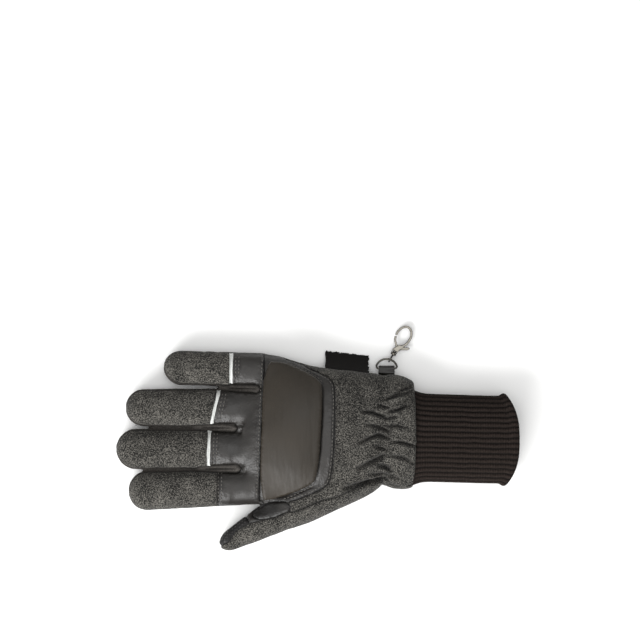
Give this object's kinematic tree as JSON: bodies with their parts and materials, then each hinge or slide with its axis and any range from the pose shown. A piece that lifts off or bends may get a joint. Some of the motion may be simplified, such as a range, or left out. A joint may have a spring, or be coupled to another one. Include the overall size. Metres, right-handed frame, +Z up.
{
  "type": "firefighter glove",
  "caption": "Right-hand firefighter glove lying palm down: heather back, padded knuckle guard, leather palm patches, ribbed knit wrist, and a snap hook on a ring.",
  "frame": {"origin": "on the floor, on the face that the palm rests on, under the middle of the palm", "axes": "+X from the fingertips to the cuff, +Y towards the little finger, +Z up out of the back of the hand"},
  "size_m": [0.3072, 0.1698, 0.0374],
  "materials": {
    "shell_fabric": "heather woven aramid, matte",
    "black_leather": "fine-grained goatskin, satin",
    "fourchette_leather": "thin soft leather, matte",
    "heel_leather": "brushed leather with a pale sheen",
    "guard_leather": "padded smooth leather, satin",
    "grip_cloth": "black cloth with raised grip dots",
    "reflective_tape": "silver retroreflective tape",
    "rib_knit": "double rib knit, matte",
    "label_cloth": "plain woven tape",
    "nickel_plated_steel": "bright nickel plate"
  },
  "bodies": {
    "glove": {"finger_back_index": "shell_fabric", "finger_back_middle": "shell_fabric", "finger_back_ring": "shell_fabric", "finger_back_little": "shell_fabric", "finger_front_index": "black_leather", "finger_front_middle": "black_leather", "finger_front_ring": "black_leather", "finger_front_little": "black_leather", "fingertip_grip_index": "grip_cloth", "fingertip_grip_middle": "grip_cloth", "fingertip_grip_ring": "grip_cloth", "fingertip_grip_little": "grip_cloth", "fourchette_little_ring": "fourchette_leather", "fourchette_ring_middle": "fourchette_leather", "fourchette_middle_index": "fourchette_leather", "reflective_stripe_little": "reflective_tape", "reflective_stripe_ring": "reflective_tape", "reflective_stripe_middle": "reflective_tape", "knuckle_leather": "black_leather", "guard_surround": "black_leather", "knuckle_guard": "guard_leather", "back_fabric": "shell_fabric", "palm_leather": "black_leather", "palm_strip": "black_leather", "palm_tongue": "black_leather", "thumb_heel_patch": "black_leather", "palm_heel_patch": "heel_leather", "thumb_gusset": "black_leather", "thumb_back": "shell_fabric", "thumb_front": "black_leather", "thumbtip_grip": "grip_cloth", "knit_cuff": "rib_knit", "cuff_strip": "black_leather", "label_tab": "label_cloth", "ring_loop": "black_leather"},
    "ring": {"d_ring": "nickel_plated_steel", "swivel_eye": "nickel_plated_steel"},
    "hook": {"hook_body": "nickel_plated_steel"},
    "gate": {"gate_lever": "nickel_plated_steel"}
  },
  "joints": [
    {"name": "ring_swing", "type": "hinge", "parent": "glove", "child": "ring", "pos_m": [0.04308, 0.04773, 0.0072], "axis": [1, 0, 0], "range_deg": [-45, 100]},
    {"name": "hook_swivel", "type": "hinge", "parent": "ring", "child": "hook", "pos_m": [0.04609, 0.05509, 0.00367], "axis": [0.4993, 0.8648, -0.0523], "continuous": true},
    {"name": "gate_hinge", "type": "hinge", "parent": "hook", "child": "gate", "pos_m": [0.05151, 0.06268, 0.00319], "axis": [0.0262, 0.0453, 0.9986], "range_deg": [-22, 0], "stiffness_Nm_per_rad": 0.01, "springref_deg": 11.46}
  ]
}
